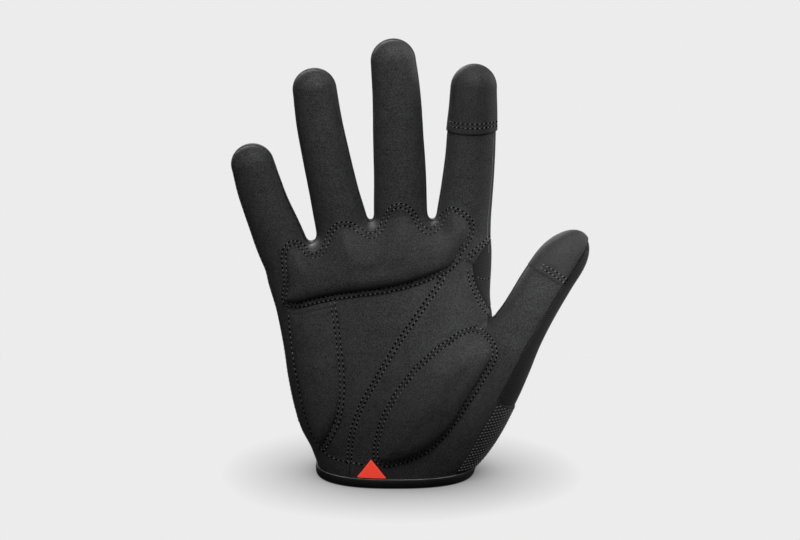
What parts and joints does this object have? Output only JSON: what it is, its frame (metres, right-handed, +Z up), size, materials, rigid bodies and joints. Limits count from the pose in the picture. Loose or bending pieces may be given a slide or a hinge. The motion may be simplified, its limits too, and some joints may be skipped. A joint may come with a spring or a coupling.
{
  "type": "cycling glove",
  "caption": "Full-finger right-hand cycling glove with padded suede palm, stretch back, touch fingertips and bound cuff.",
  "frame": {"origin": "centre of the wrist opening, in the plane that the hem stands on", "axes": "+Z up to the fingertips, -Y out of the palm, +X towards the thumb"},
  "size_m": [0.1636, 0.0593, 0.2065],
  "materials": {
    "suede": "matte charcoal microsuede with a fine mottled nap",
    "tip_suede": "matte charcoal microsuede, finer nap",
    "knit": "matte black stretch knit",
    "stretch": "matte black ribbed stretch fabric",
    "dotted_grip": "black cloth with a close grid of raised grey dots",
    "binding": "smooth black elastic binding, slightly glossy",
    "tab": "bare bright red tab"
  },
  "bodies": {
    "root": {"palm_panel": "suede", "thumb_panel": "suede", "metacarpal_pad": "suede", "ulnar_pad": "suede", "thenar_pad": "suede", "index_tip_cap": "tip_suede", "thumb_tip_cap": "tip_suede", "back_panel": "knit", "thumb_back": "stretch", "thumb_gusset": "stretch", "fourchette_little_ring": "stretch", "fourchette_ring_middle": "stretch", "fourchette_middle_index": "stretch", "wrist_patch": "dotted_grip", "cuff_binding": "binding", "pull_tab": "tab"}
  },
  "joints": []
}
